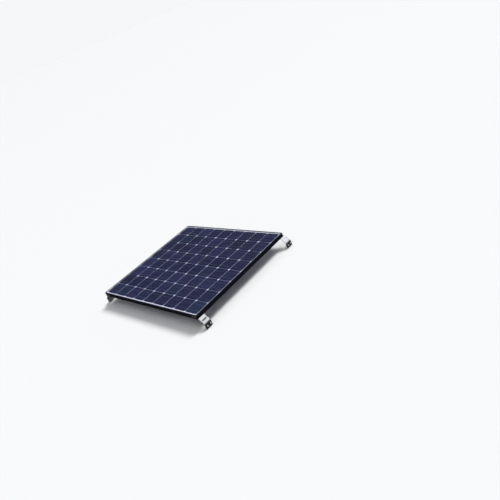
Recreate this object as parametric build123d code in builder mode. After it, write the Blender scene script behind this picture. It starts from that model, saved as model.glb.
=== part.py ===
from build123d import *
import os
from math import radians, tan

# Framed photovoltaic module on four side brackets, lying flat.
# +Z is the side that faces the sun, X runs along the cell strings, Y across them.
# The origin is on the surface the bracket legs stand on, under the middle of the module.

# ---------- driving dimensions, mm ----------
columns = 9                  # cells in one string, along X
rows = 8                     # strings, side by side along Y
cell_size = 126.0            # pseudo-square wafer, flat to flat
ingot_diameter = 165.0       # the round ingot shows as the cut wafer corners
cell_gap_x = 2.0
cell_gap_y = 1.5
cell_thickness = 0.2
busbar_offset = 31.25        # two busbars per cell, a quarter cell each side of its middle
ribbon_width = 2.0
ribbon_thickness = 0.2
ribbon_end_gap = 4.0         # a ribbon stops this far short of a cell's far edge
ribbon_bend_gap = 0.5        # from a cell's edge to the ribbon's step between two cells
bus_width = 3.5
bus_gap = 0.9                # from the end cells to the bus ribbons

border_side = 8.5            # white margin left and right of the cells
border_end = 10.5            # white margin in front of and behind the cells
lip_width = 7.0
lip_thickness = 1.6
seal_thickness = 0.6         # sealing tape between laminate and groove
glass_inset = 3.0            # frame's outer face to the laminate's edge
seal_top_end = 6.5           # frame's outer face to the tape's inner edges
seal_bottom_end = 10.0

glass_thickness = 3.2
front_encapsulant_thickness = 0.4
rear_encapsulant_thickness = 0.7
backsheet_thickness = 0.35
encapsulant_rim = 3.0        # rim that closes the cell layer at its edge

frame_height = 35.0
frame_wall = 1.8
chamber_width = 8.4          # hollow chamber that takes the corner keys
flange_width = 32.0
flange_thickness = 2.0
outer_fillet = 0.8
slot_length = 14.0           # module mounting slots in the bottom flange
slot_width = 9.0
slot_inset = 22.0            # frame's outer face to the slots' middle
side_slot_y = 497.0          # side rails' slots, where the brackets bolt on
free_slot_x = 400.0          # front and rear rails' slots, left free
ground_hole = 4.2

key_leg = 62.0
key_clearance = 0.1
corner_screw_places = (17.5, 47.5)   # from the frame's side face, on front and rear walls
corner_screw_drop = 18.0             # below the frame's top
corner_screw_head = 8.0
corner_screw_head_height = 2.4
corner_screw_shank = 4.2
corner_screw_length = 9.0
cross_recess = (4.4, 1.0, 1.2)       # length, width, depth

stand_height = 118.0         # glass face above the ends of the bracket legs
bracket_length = 60.0        # along Y
bracket_thickness = 4.0
bracket_front_y = -490.0     # middles of the front and the rear brackets
bracket_rear_y = 514.0
bracket_flange = 38.0        # part that lies under the frame
bracket_first_bend = 2.0     # frame's outer face to the first bend
bracket_reach = 44.0         # frame's outer face to the leg's outer face
bracket_slope = 43.0         # web below the horizontal, degrees
bracket_bend = 6.0           # radius inside both bends
bracket_corner = 4.0
bracket_slot_length = 44.0   # the same length of slot in the flange and in the web
flange_slot_width = 9.0
web_slot_width = 10.0

clamp_plate_height = 38.0
clamp_plate_rise = 2.0       # lower edge above the leg's end
clamp_plate_thickness = 4.0
clamp_plate_corner = 3.0
side_bolt_height = 22.0      # above the leg's end
side_bolt_spacing = 32.0
rail_lip = 3.0               # wall of the T-slot rail that the side bolts clamp

bolt_shank = 8.0
bolt_hole = 8.5
bolt_length = 20.0
hex_across = 13.0
head_height = 5.3
nut_height = 6.5
hex_bevel = 0.7
washer_diameter = 16.0
washer_hole = 8.4
washer_thickness = 1.6
t_nut_size = (24.0, 15.0)    # along Y and Z
t_nut_thickness = 5.0

box_x = -500.0               # junction box, under the middle of the left side
box_size = (74.0, 110.0)
box_height = 20.0
box_wall = 2.2
box_corner = 6.0
adhesive_thickness = 1.0
adhesive_inset = 2.0
adhesive_width = 8.0
lead_slot = (8.0, 84.0)
lid_thickness = 2.8
lid_clearance = 0.2
lid_rib_inset = 8.0
lid_rib_width = 2.5
lid_rib_height = 0.8
spigot_height = 2.0
spigot_wall = 1.5
spigot_clearance = 0.4
gasket_inset = 0.4
gasket_width = 1.4
gasket_groove_depth = 1.0
hinge_offset = 3.8           # pin axis outside the box wall
knuckle_radius = 3.4
knuckle_length = 10.0
knuckle_gap = 0.4
knuckle_place = 30.0         # where a base ear and a lid knuckle meet, from the middle
pin_radius = 1.5
pin_clearance = 0.15
pin_length = 82.0
latch_width = 12.0
latch_clearance = 1.2
latch_thickness = 1.8
latch_height = 9.0
latch_window = (9.0, 4.0)
catch_size = (8.0, 3.0)
catch_proud = 0.9
catch_height = 4.0           # catch above the box's rim

terminal_count = 4
terminal_pitch = 24.0
terminal_size = (30.0, 16.0)
terminal_thickness = 1.0
terminal_drop = 9.0          # terminal plates below the box's roof
terminal_post = 8.0
terminal_post_offset = 10.0
stake_radius = 1.5
stake_length = 1.6
stake_clearance = 0.1
lead_width = 4.5
lead_thickness = 0.3
outer_lead_x = -582.6        # leads of the first and last string run in the margin
inner_lead_x = -478.0        # leads of the inner tappings run past the box
diode_diameter = 6.0
diode_length = 7.0
diode_wire = 1.3
diode_wire_length = 20.0

gland_place_y = 27.0
gland_across = 16.0
gland_bore = 3.3
gland_stub_radius = 5.9
gland_flange = 4.0
gland_barrel_radius = 6.4
gland_barrel = 10.0
gland_inside = 3.5           # thread that shows inside the wall
gland_seal_radius = 4.8
gland_seal_bore = 3.0
gland_seal_length = 7.0
gland_cap_length = 13.0
gland_cap_start = 1.0        # from the body's hexagon to the cap
gland_clearance = 0.1

# ---------- sizes worked out from the above ----------
pitch_x = cell_size + cell_gap_x
pitch_y = cell_size + cell_gap_y
cells_half_x = (columns * pitch_x - cell_gap_x) / 2
cells_half_y = (rows * pitch_y - cell_gap_y) / 2
frame_x = 2 * (cells_half_x + border_side + lip_width)
frame_y = 2 * (cells_half_y + border_end + lip_width)
laminate_x = frame_x - 2 * glass_inset
laminate_y = frame_y - 2 * glass_inset
bus_inner_x = cells_half_x + bus_gap
bus_outer_x = bus_inner_x + bus_width

glass_top = stand_height
frame_top = glass_top + seal_thickness + lip_thickness
frame_bottom = frame_top - frame_height
glass_bottom = glass_top - glass_thickness
front_encapsulant_bottom = glass_bottom - front_encapsulant_thickness
cell_top = front_encapsulant_bottom - ribbon_thickness
cell_bottom = cell_top - cell_thickness
rear_encapsulant_top = cell_bottom - ribbon_thickness
rear_encapsulant_bottom = rear_encapsulant_top - rear_encapsulant_thickness
laminate_bottom = rear_encapsulant_bottom - backsheet_thickness
ledge_top = laminate_bottom - seal_thickness
ledge_bottom = ledge_top - frame_wall
chamber_inner = frame_wall + chamber_width

box_top = laminate_bottom - adhesive_thickness
box_rim = box_top - box_height
box_roof = box_top - box_wall
lid_top = box_rim - lid_clearance
lid_bottom = lid_top - lid_thickness
box_wall_x = box_x + box_size[0] / 2
hinge_x = box_x - box_size[0] / 2 - hinge_offset
terminal_top = box_roof - terminal_drop
terminal_bottom = terminal_top - terminal_thickness
gland_height = box_top - box_height / 2

string_y = [(row - (rows - 1) / 2) * pitch_y for row in range(rows)]
cell_x = [(column - (columns - 1) / 2) * pitch_x for column in range(columns)]
terminal_y = [(i - (terminal_count - 1) / 2) * terminal_pitch for i in range(terminal_count)]
side_name = {-1: "left", 1: "right"}
end_name = {-1: "front", 1: "rear"}
bracket_y = {-1: bracket_front_y, 1: bracket_rear_y}
corners = [(side, end) for end in end_name for side in side_name]
up = (0, 0, 1)

os.makedirs("parts", exist_ok=True)


def save(builder, name):
    """Label a finished piece and write it as its own STEP file."""
    builder.part.label = name
    export_step(builder.part, f"parts/{name}.step")


def block(x_range, y_range, z_range, mode=Mode.ADD):
    """A rectangular block between the given limits, in either order."""
    ranges = (x_range, y_range, z_range)
    with Locations(tuple(sum(limits) / 2 for limits in ranges)):
        Box(*[abs(limits[1] - limits[0]) for limits in ranges], mode=mode)


def slab(width, depth, bottom, top, mode=Mode.ADD):
    """A flat sheet centred on the module, between two heights."""
    block((-width / 2, width / 2), (-depth / 2, depth / 2), (bottom, top), mode=mode)


# ---------- frame rails ----------
# Each rail has its own axes: s along the rail, u inward from its outer face.
rails = {
    "front": ((0, -frame_y / 2, 0), (1, 0, 0), (0, 1, 0), frame_x),
    "right": ((frame_x / 2, 0, 0), (0, 1, 0), (-1, 0, 0), frame_y),
    "rear": ((0, frame_y / 2, 0), (-1, 0, 0), (0, -1, 0), frame_x),
    "left": ((-frame_x / 2, 0, 0), (0, -1, 0), (1, 0, 0), frame_y),
}
screw_places_x = [
    side * (frame_x / 2 - inset) for side in (-1, 1) for inset in corner_screw_places
]

# wall, lip over the glass, ledge under it, closed chamber and bottom flange
with BuildSketch() as rail_section:
    with BuildLine():
        Polyline(
            (0, frame_bottom),
            (0, frame_top),
            (lip_width, frame_top),
            (lip_width, frame_top - lip_thickness),
            (frame_wall, frame_top - lip_thickness),
            (frame_wall, ledge_top),
            (chamber_inner + frame_wall, ledge_top),
            (chamber_inner + frame_wall, frame_bottom + flange_thickness),
            (flange_width, frame_bottom + flange_thickness),
            (flange_width, frame_bottom),
            close=True,
        )
    make_face()
    fillet(vertices().filter_by(lambda v: v.X < outer_fillet), radius=outer_fillet)
    fillet(vertices().filter_by(lambda v: abs(v.X - lip_width) < outer_fillet), radius=lip_thickness / 3)
    with BuildLine():
        Polyline(
            (frame_wall, frame_bottom + flange_thickness),
            (frame_wall, ledge_bottom),
            (chamber_inner, ledge_bottom),
            (chamber_inner, frame_bottom + flange_thickness),
            close=True,
        )
    make_face(mode=Mode.SUBTRACT)

for place, (origin, along, inward, length) in rails.items():
    on_side = place in ("left", "right")
    slot_place = side_slot_y if on_side else free_slot_x
    bottom_plane = Plane(origin=Vector(*origin) + Vector(0, 0, frame_bottom), x_dir=along, z_dir=up)
    with BuildPart() as rail:
        with BuildSketch(Plane(origin=origin, x_dir=inward, z_dir=along)):
            add(rail_section.sketch)
        extrude(amount=length / 2, both=True)
        # both ends mitred at 45 degrees
        with BuildSketch(bottom_plane):
            with BuildLine():
                Polyline(
                    (-length / 2, 0),
                    (length / 2, 0),
                    (length / 2 - flange_width, flange_width),
                    (flange_width - length / 2, flange_width),
                    close=True,
                )
            make_face()
        extrude(amount=frame_height, mode=Mode.INTERSECT)
        # mounting slots and a grounding hole in the bottom flange
        with BuildSketch(bottom_plane):
            with Locations((-slot_place, slot_inset), (slot_place, slot_inset)):
                SlotOverall(slot_length, slot_width)
            with Locations((0, slot_inset)):
                Circle(ground_hole / 2)
        extrude(amount=flange_thickness, mode=Mode.SUBTRACT)
        if not on_side:
            screw_plane = Plane(origin=origin, x_dir=along, z_dir=-Vector(*inward))
            with BuildSketch(screw_plane):
                with Locations(*[(x, frame_top - corner_screw_drop) for x in screw_places_x]):
                    Circle(corner_screw_shank / 2)
            extrude(amount=-frame_wall, mode=Mode.SUBTRACT)
    save(rail, f"frame_rail_{place}")

# ---------- corner keys and their screws ----------
key_near = frame_wall + key_clearance
key_far = chamber_inner - key_clearance
key_bottom = frame_bottom + flange_thickness + key_clearance
key_top = ledge_bottom - key_clearance

for side, end in corners:
    outline = [
        (key_near, key_near),
        (key_leg, key_near),
        (key_leg, key_far),
        (key_far, key_far),
        (key_far, key_leg),
        (key_near, key_leg),
    ]
    with BuildPart() as key:
        with BuildSketch(Plane.XY.offset(key_bottom)):
            with BuildLine():
                Polyline(
                    *[(side * (frame_x / 2 - u), end * (frame_y / 2 - v)) for u, v in outline],
                    close=True,
                )
            make_face()
        extrude(amount=key_top - key_bottom)
        key_face = Plane(
            origin=(0, end * (frame_y / 2 - key_near), frame_top - corner_screw_drop),
            x_dir=(1, 0, 0),
            z_dir=(0, -1, 0),
        )
        with BuildSketch(key_face):
            with Locations(*[(side * (frame_x / 2 - inset), 0) for inset in corner_screw_places]):
                Circle(corner_screw_shank / 2)
        extrude(amount=key_far, both=True, mode=Mode.SUBTRACT)
    save(key, f"corner_key_{end_name[end]}_{side_name[side]}")

with BuildPart() as corner_screw:
    with BuildSketch():
        Circle(corner_screw_head / 2)
    extrude(amount=corner_screw_head_height)
    fillet(edges().group_by(Axis.Z)[-1], radius=corner_screw_head_height / 2)
    with BuildSketch(Plane.XY.offset(corner_screw_head_height)):
        Rectangle(cross_recess[0], cross_recess[1])
        Rectangle(cross_recess[1], cross_recess[0])
    extrude(amount=-cross_recess[2], mode=Mode.SUBTRACT)
    with BuildSketch():
        Circle(corner_screw_shank / 2)
    extrude(amount=-corner_screw_length)

corner_screw_planes = [
    Plane(origin=(x, end * frame_y / 2, frame_top - corner_screw_drop), x_dir=up, z_dir=(0, end, 0))
    for end in (-1, 1)
    for x in screw_places_x
]
with BuildPart() as corner_screws:
    with Locations(*corner_screw_planes):
        add(corner_screw.part)
save(corner_screws, "corner_screws")

# ---------- laminate ----------
with BuildPart() as edge_seal:
    seal_x = frame_x - 2 * frame_wall
    seal_y = frame_y - 2 * frame_wall
    slab(seal_x, seal_y, ledge_top, frame_top - lip_thickness)
    slab(laminate_x, laminate_y, laminate_bottom, glass_top, mode=Mode.SUBTRACT)
    slab(
        frame_x - 2 * seal_bottom_end,
        frame_y - 2 * seal_bottom_end,
        ledge_top,
        laminate_bottom,
        mode=Mode.SUBTRACT,
    )
    slab(
        frame_x - 2 * seal_top_end,
        frame_y - 2 * seal_top_end,
        glass_top,
        frame_top - lip_thickness,
        mode=Mode.SUBTRACT,
    )
save(edge_seal, "edge_seal")

with BuildPart() as glass:
    slab(laminate_x, laminate_y, glass_bottom, glass_top)
save(glass, "front_glass")

with BuildPart() as front_encapsulant:
    slab(laminate_x, laminate_y, rear_encapsulant_top, glass_bottom)
    slab(
        laminate_x - 2 * encapsulant_rim,
        laminate_y - 2 * encapsulant_rim,
        rear_encapsulant_top,
        front_encapsulant_bottom,
        mode=Mode.SUBTRACT,
    )
save(front_encapsulant, "front_encapsulant")

# Strings alternate in direction, so that the current snakes from the first to the last.
with BuildSketch() as wafer:
    Rectangle(cell_size, cell_size)
    Circle(ingot_diameter / 2, mode=Mode.INTERSECT)

for row, y in enumerate(string_y):
    with BuildPart() as cell_string:
        with BuildSketch(Plane.XY.offset(cell_bottom)):
            with Locations(*[(x, y) for x in cell_x]):
                add(wafer.sketch)
        extrude(amount=cell_thickness)
    save(cell_string, f"cell_string_{row + 1}")


def ribbon_profile(direction, cell):
    """Side view of the ribbon from the top of one cell to the underside of the next."""
    x = cell_x[cell]
    start = x - direction * (cell_size / 2 - ribbon_end_gap)
    step = x + direction * (cell_size / 2 + ribbon_bend_gap)
    landing = step + direction * (cell_gap_x - 2 * ribbon_bend_gap)
    finish = x + direction * (pitch_x + cell_size / 2 - ribbon_end_gap)
    return [
        (start, cell_top),
        (start, cell_top + ribbon_thickness),
        (step, cell_top + ribbon_thickness),
        (landing, cell_bottom),
        (finish, cell_bottom),
        (finish, cell_bottom - ribbon_thickness),
        (landing, cell_bottom - ribbon_thickness),
        (step, cell_top),
    ]


for row, y in enumerate(string_y):
    direction = 1 if row % 2 == 0 else -1
    order = list(range(columns))[::direction]
    # the end ribbons lie under the first cell and over the last, and reach the bus ribbons
    first_x = (-direction * bus_outer_x, cell_x[order[0]] + direction * (cell_size / 2 - ribbon_end_gap))
    last_x = (cell_x[order[-1]] - direction * (cell_size / 2 - ribbon_end_gap), direction * bus_outer_x)
    with BuildPart() as string_ribbons:
        for busbar_y in (y - busbar_offset, y + busbar_offset):
            with BuildSketch(Plane.XZ.offset(-busbar_y)):
                for cell in order[:-1]:
                    with BuildLine():
                        Polyline(*ribbon_profile(direction, cell), close=True)
                    make_face()
            extrude(amount=ribbon_width / 2, both=True)
            ribbon_y = (busbar_y - ribbon_width / 2, busbar_y + ribbon_width / 2)
            block(first_x, ribbon_y, (cell_bottom - ribbon_thickness, cell_bottom))
            block(last_x, ribbon_y, (cell_top, cell_top + ribbon_thickness))
    save(string_ribbons, f"string_ribbons_{row + 1}")

# ---------- bus ribbons in the side margins ----------
bus_end = busbar_offset + ribbon_width
right_pairs = [(row, row + 1) for row in range(0, rows, 2)]
left_groups = [(0, 0)] + [(row, row + 1) for row in range(1, rows - 1, 2)] + [(rows - 1, rows - 1)]

for side, groups in ((-1, left_groups), (1, right_pairs)):
    with BuildPart() as bus_ribbons:
        for first, last in groups:
            block(
                (side * bus_inner_x, side * bus_outer_x),
                (string_y[first] - bus_end, string_y[last] + bus_end),
                (cell_bottom, cell_top),
            )
    save(bus_ribbons, f"bus_ribbons_{side_name[side]}")

# ---------- output leads, behind the cells ----------
# Four tappings: each end of the chain and the joints after strings 2 and 6.
tapping_y = [string_y[0], (string_y[1] + string_y[2]) / 2, (string_y[5] + string_y[6]) / 2, string_y[7]]
lead_routes = []
for start_y, end_y in zip(tapping_y, terminal_y):
    column_x = outer_lead_x if abs(start_y) == abs(string_y[0]) else inner_lead_x
    start_x = -(bus_inner_x + bus_outer_x) / 2
    lead_routes.append(
        [(start_x, start_y), (column_x, start_y), (column_x, end_y), (box_x, end_y)]
    )

with BuildPart() as output_leads:
    half = lead_width / 2
    for route in lead_routes:
        # flat runs on the backsheet
        for (x0, y0), (x1, y1) in zip(route, route[1:]):
            block(
                (min(x0, x1) - half, max(x0, x1) + half),
                (min(y0, y1) - half, max(y0, y1) + half),
                (rear_encapsulant_bottom, rear_encapsulant_bottom + lead_thickness),
            )
        # a tab up to the bus ribbon, and a drop into the junction box
        start_y, end_y = route[0][1], route[-1][1]
        block(
            (-bus_outer_x, -bus_inner_x),
            (start_y - half, start_y + half),
            (rear_encapsulant_bottom, cell_bottom),
        )
        block(
            (box_x - lead_thickness / 2, box_x + lead_thickness / 2),
            (end_y - half, end_y + half),
            (terminal_top, rear_encapsulant_bottom),
        )
save(output_leads, "output_leads")

with BuildPart() as rear_encapsulant:
    slab(laminate_x, laminate_y, rear_encapsulant_bottom, rear_encapsulant_top)
    add(output_leads.part, mode=Mode.SUBTRACT)
save(rear_encapsulant, "rear_encapsulant")

lead_opening_x = (box_x - lead_slot[0] / 2, box_x + lead_slot[0] / 2)
lead_opening_y = (-lead_slot[1] / 2, lead_slot[1] / 2)
with BuildPart() as backsheet:
    slab(laminate_x, laminate_y, laminate_bottom, rear_encapsulant_bottom)
    block(lead_opening_x, lead_opening_y, (laminate_bottom, rear_encapsulant_bottom), mode=Mode.SUBTRACT)
save(backsheet, "backsheet")

# ---------- junction box ----------


def box_ring(bottom, top, outer_inset, inner_inset, mode=Mode.ADD):
    """A rounded ring that follows the box's outline."""
    with BuildSketch(Plane(origin=(box_x, 0, bottom))) as ring:
        for inset, sketch_mode in ((outer_inset, Mode.ADD), (inner_inset, Mode.SUBTRACT)):
            RectangleRounded(
                box_size[0] - 2 * inset,
                box_size[1] - 2 * inset,
                max(box_corner - inset, 1),
                mode=sketch_mode,
            )
    extrude(ring.sketch, amount=top - bottom, mode=mode)


def knuckle(y_end, arm_low, arm_high, bore):
    """One hinge knuckle about the pin, with its arm towards the box."""
    plane = Plane(origin=(hinge_x, y_end, box_rim), x_dir=(1, 0, 0), z_dir=(0, -1, 0))
    with BuildSketch(plane) as side_view:
        Circle(knuckle_radius)
        with Locations((hinge_offset / 2 + box_wall / 4, (arm_low + arm_high) / 2)):
            Rectangle(hinge_offset + box_wall / 2, arm_high - arm_low)
        Circle(bore, mode=Mode.SUBTRACT)
    extrude(side_view.sketch, amount=knuckle_length)


with BuildPart() as adhesive:
    box_ring(box_top, laminate_bottom, adhesive_inset, adhesive_inset + adhesive_width)
save(adhesive, "junction_box_adhesive")

post_places = [
    (box_x + step * terminal_post_offset, y) for y in terminal_y for step in (-1, 1)
]
gland_planes = [
    Plane(origin=(box_wall_x, side * gland_place_y, gland_height), x_dir=(0, 1, 0), z_dir=(1, 0, 0))
    for side in (-1, 1)
]
with BuildPart() as box_base:
    with BuildSketch(Plane(origin=(box_x, 0, box_rim))):
        RectangleRounded(*box_size, box_corner)
    extrude(amount=box_height)
    with BuildSketch(Plane(origin=(box_x, 0, box_rim))):
        RectangleRounded(
            box_size[0] - 2 * box_wall, box_size[1] - 2 * box_wall, box_corner - box_wall
        )
    extrude(amount=box_height - box_wall, mode=Mode.SUBTRACT)
    block(lead_opening_x, lead_opening_y, (box_roof, box_top), mode=Mode.SUBTRACT)
    # posts that carry the terminal plates, with stakes through the plates
    with BuildSketch(Plane.XY.offset(terminal_top)):
        with Locations(*post_places):
            Rectangle(terminal_post, terminal_post)
    extrude(amount=terminal_drop)
    with BuildSketch(Plane.XY.offset(terminal_top - stake_length)):
        with Locations(*post_places):
            Circle(stake_radius)
    extrude(amount=stake_length)
    # hinge ears, catch and gland holes
    for y_end in (knuckle_place, knuckle_length - knuckle_place):
        knuckle(y_end, 0, knuckle_radius, pin_radius)
    block(
        (box_wall_x - box_wall / 2, box_wall_x + catch_proud),
        (-catch_size[0] / 2, catch_size[0] / 2),
        (box_rim + catch_height, box_rim + catch_height + catch_size[1]),
    )
    for plane in gland_planes:
        with BuildSketch(plane):
            Circle(gland_stub_radius)
        extrude(amount=-box_wall, mode=Mode.SUBTRACT)
save(box_base, "junction_box_base")

with BuildPart() as terminals:
    with BuildSketch(Plane.XY.offset(terminal_bottom)):
        with Locations(*[(box_x, y) for y in terminal_y]):
            Rectangle(*terminal_size)
        with Locations(*post_places):
            Circle(stake_radius + stake_clearance, mode=Mode.SUBTRACT)
    extrude(amount=terminal_thickness)
save(terminals, "terminal_plates")

with BuildPart() as diodes:
    for low, high in zip(terminal_y, terminal_y[1:]):
        middle = Plane(
            origin=(box_x, (low + high) / 2, terminal_bottom - diode_wire / 2),
            x_dir=(1, 0, 0),
            z_dir=(0, 1, 0),
        )
        with BuildSketch(middle):
            Circle(diode_diameter / 2)
        extrude(amount=diode_length / 2, both=True)
        with BuildSketch(middle):
            Circle(diode_wire / 2)
        extrude(amount=diode_wire_length / 2, both=True)
save(diodes, "bypass_diodes")

with BuildPart() as lid:
    with BuildSketch(Plane(origin=(box_x, 0, lid_bottom))):
        RectangleRounded(*box_size, box_corner)
    extrude(amount=lid_thickness)
    spigot_inset = box_wall + spigot_clearance
    box_ring(lid_top, lid_top + spigot_height, spigot_inset, spigot_inset + spigot_wall)
    box_ring(lid_bottom - lid_rib_height, lid_bottom, lid_rib_inset, lid_rib_inset + lid_rib_width)
    for y_end in (knuckle_place + knuckle_gap + knuckle_length, -knuckle_place - knuckle_gap):
        knuckle(y_end, lid_bottom - box_rim, lid_top - box_rim, pin_radius + pin_clearance)
    # snap tongue with a window around the catch
    tongue_x = (box_wall_x + latch_clearance, box_wall_x + latch_clearance + latch_thickness)
    block((box_wall_x - box_wall, tongue_x[1]), (-latch_width / 2, latch_width / 2), (lid_bottom, lid_top))
    block(tongue_x, (-latch_width / 2, latch_width / 2), (lid_bottom, box_rim + latch_height))
    window_middle = box_rim + catch_height + catch_size[1] / 2
    block(
        tongue_x,
        (-latch_window[0] / 2, latch_window[0] / 2),
        (window_middle - latch_window[1] / 2, window_middle + latch_window[1] / 2),
        mode=Mode.SUBTRACT,
    )
    # groove for the gasket, under the box's rim
    box_ring(
        lid_top - gasket_groove_depth,
        lid_top,
        gasket_inset,
        gasket_inset + gasket_width,
        mode=Mode.SUBTRACT,
    )
save(lid, "junction_box_lid")

with BuildPart() as gasket:
    box_ring(lid_top - gasket_groove_depth, box_rim, gasket_inset, gasket_inset + gasket_width)
save(gasket, "lid_gasket")

with BuildPart() as hinge_pin:
    with BuildSketch(Plane(origin=(hinge_x, 0, box_rim), x_dir=(1, 0, 0), z_dir=(0, 1, 0))):
        Circle(pin_radius)
    extrude(amount=pin_length / 2, both=True)
save(hinge_pin, "lid_hinge_pin")

# ---------- cable glands, each about its own axis, outward from the box ----------
barrel_start = gland_flange
barrel_end = gland_flange + gland_barrel
cap_start = gland_flange + gland_cap_start
cap_end = cap_start + gland_cap_length
seal_start = barrel_end - gland_seal_length

for plane, polarity in zip(gland_planes, ("negative", "positive")):
    with BuildPart() as gland_body:
        with BuildSketch(plane.offset(-box_wall - gland_inside)):
            Circle(gland_stub_radius)
        extrude(amount=box_wall + gland_inside)
        with BuildSketch(plane):
            RegularPolygon(gland_across / 2, 6, major_radius=False)
        extrude(amount=gland_flange)
        with BuildSketch(plane.offset(barrel_start)):
            Circle(gland_barrel_radius)
        extrude(amount=gland_barrel)
        with BuildSketch(plane.offset(-box_wall - gland_inside)):
            Circle(gland_bore)
        extrude(amount=box_wall + gland_inside + barrel_end, mode=Mode.SUBTRACT)
        with BuildSketch(plane.offset(seal_start)):
            Circle(gland_seal_radius)
        extrude(amount=gland_seal_length, mode=Mode.SUBTRACT)
    save(gland_body, f"gland_body_{polarity}")

    with BuildPart() as gland_cap:
        with BuildSketch(plane.offset(cap_start)):
            RegularPolygon(gland_across / 2, 6, major_radius=False)
        extrude(amount=gland_cap_length)
        chamfer(faces().sort_by(Axis.X)[-1].edges(), length=hex_bevel)
        with BuildSketch(plane.offset(cap_start)):
            Circle(gland_barrel_radius + gland_clearance)
        extrude(amount=barrel_end - cap_start, mode=Mode.SUBTRACT)
        with BuildSketch(plane.offset(barrel_end)):
            Circle(gland_bore)
        extrude(amount=cap_end - barrel_end, mode=Mode.SUBTRACT)
    save(gland_cap, f"gland_cap_{polarity}")

with BuildPart() as gland_seals:
    for plane in gland_planes:
        with BuildSketch(plane.offset(seal_start)):
            Circle(gland_seal_radius)
            Circle(gland_seal_bore, mode=Mode.SUBTRACT)
        extrude(amount=gland_seal_length)
save(gland_seals, "gland_seals")

# ---------- side brackets ----------
# In a bracket's own view, x runs outward from the frame's outer face and y is the height.
web_end_height = frame_bottom - (bracket_reach - bracket_first_bend) * tan(radians(bracket_slope))
web_middle = ((bracket_first_bend + bracket_reach) / 2, (frame_bottom + web_end_height) / 2)
side_bolt_y = (-side_bolt_spacing / 2, side_bolt_spacing / 2)


def view(side, y):
    """The plane of a bracket's side view, at y along the module."""
    return Plane(origin=(side * frame_x / 2, y, 0), x_dir=(side, 0, 0), z_dir=(0, -side, 0))


def leg_face(side, y, out):
    """A plane facing outward, at a distance outside the frame's outer face."""
    return Plane(origin=(side * (frame_x / 2 + out), y, 0), x_dir=(0, side, 0), z_dir=(side, 0, 0))


for side, end in corners:
    middle_y = bracket_y[end]
    with BuildPart() as bracket:
        with BuildSketch(view(side, middle_y)):
            with BuildLine():
                FilletPolyline(
                    (-bracket_flange, frame_bottom),
                    (bracket_first_bend, frame_bottom),
                    (bracket_reach, web_end_height),
                    (bracket_reach, 0),
                    radius=bracket_bend + bracket_thickness,
                )
                offset(amount=bracket_thickness, side=Side.RIGHT)
            make_face()
        extrude(amount=bracket_length / 2, both=True)
        plate_ends = edges().filter_by(lambda e: abs(e.length - bracket_thickness) < 0.01)
        fillet(plate_ends, radius=bracket_corner)
        # slots in the sloping web and in the flange, holes in the leg
        web_plane = Plane(
            origin=(side * (frame_x / 2 + web_middle[0]), middle_y, web_middle[1]),
            x_dir=(0, 1, 0),
            z_dir=(side * tan(radians(bracket_slope)), 0, 1),
        )
        with BuildSketch(web_plane):
            SlotOverall(bracket_slot_length, web_slot_width)
        extrude(amount=2 * bracket_thickness, both=True, mode=Mode.SUBTRACT)
        with BuildSketch(leg_face(side, middle_y, bracket_reach)):
            with Locations(*[(y, side_bolt_height) for y in side_bolt_y]):
                Circle(bolt_hole / 2)
        extrude(amount=-bracket_thickness, mode=Mode.SUBTRACT)
        flange_plane = Plane(
            origin=(side * (frame_x / 2 - slot_inset), middle_y, frame_bottom),
            x_dir=(0, 1, 0),
            z_dir=up,
        )
        with BuildSketch(flange_plane):
            SlotOverall(bracket_slot_length, flange_slot_width)
        extrude(amount=-bracket_thickness, mode=Mode.SUBTRACT)
    save(bracket, f"bracket_{end_name[end]}_{side_name[side]}")

    with BuildPart() as clamp_plate:
        with BuildSketch(leg_face(side, middle_y, bracket_reach)):
            with Locations((0, clamp_plate_rise + clamp_plate_height / 2)):
                RectangleRounded(bracket_length, clamp_plate_height, clamp_plate_corner)
            with Locations(*[(y, side_bolt_height) for y in side_bolt_y]):
                Circle(bolt_hole / 2, mode=Mode.SUBTRACT)
        extrude(amount=clamp_plate_thickness)
    save(clamp_plate, f"clamp_plate_{end_name[end]}_{side_name[side]}")

# ---------- fasteners of the brackets ----------
with BuildPart() as hex_bolt:
    with BuildSketch():
        RegularPolygon(hex_across / 2, 6, major_radius=False)
    extrude(amount=head_height)
    chamfer(edges().group_by(Axis.Z)[-1], length=hex_bevel)
    with BuildSketch():
        Circle(bolt_shank / 2)
    extrude(amount=-bolt_length)
    chamfer(edges().group_by(Axis.Z)[0], length=hex_bevel)

with BuildPart() as hex_nut:
    with BuildSketch():
        RegularPolygon(hex_across / 2, 6, major_radius=False)
    extrude(amount=nut_height)
    chamfer(edges().group_by(Axis.Z)[-1], length=hex_bevel)
    Hole(bolt_shank / 2)

with BuildPart() as washer:
    with BuildSketch():
        Circle(washer_diameter / 2)
        Circle(washer_hole / 2, mode=Mode.SUBTRACT)
    extrude(amount=washer_thickness)

with BuildPart() as t_nut:
    with BuildSketch():
        Rectangle(*t_nut_size)
        Circle(bolt_shank / 2, mode=Mode.SUBTRACT)
    extrude(amount=t_nut_thickness)


def frame_fastener_planes(height, facing):
    """Places on the frame bolts' axes at a height, facing up or down."""
    return [
        Plane(
            origin=(side * (frame_x / 2 - slot_inset), end * side_slot_y, height),
            x_dir=(1, 0, 0),
            z_dir=(0, 0, facing),
        )
        for side, end in corners
    ]


def side_fastener_planes(out):
    """Places on the side bolts' axes, facing outward."""
    return [
        Plane(
            origin=(side * (frame_x / 2 + out), bracket_y[end] + y, side_bolt_height),
            x_dir=(0, side, 0),
            z_dir=(side, 0, 0),
        )
        for side, end in corners
        for y in side_bolt_y
    ]


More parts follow.
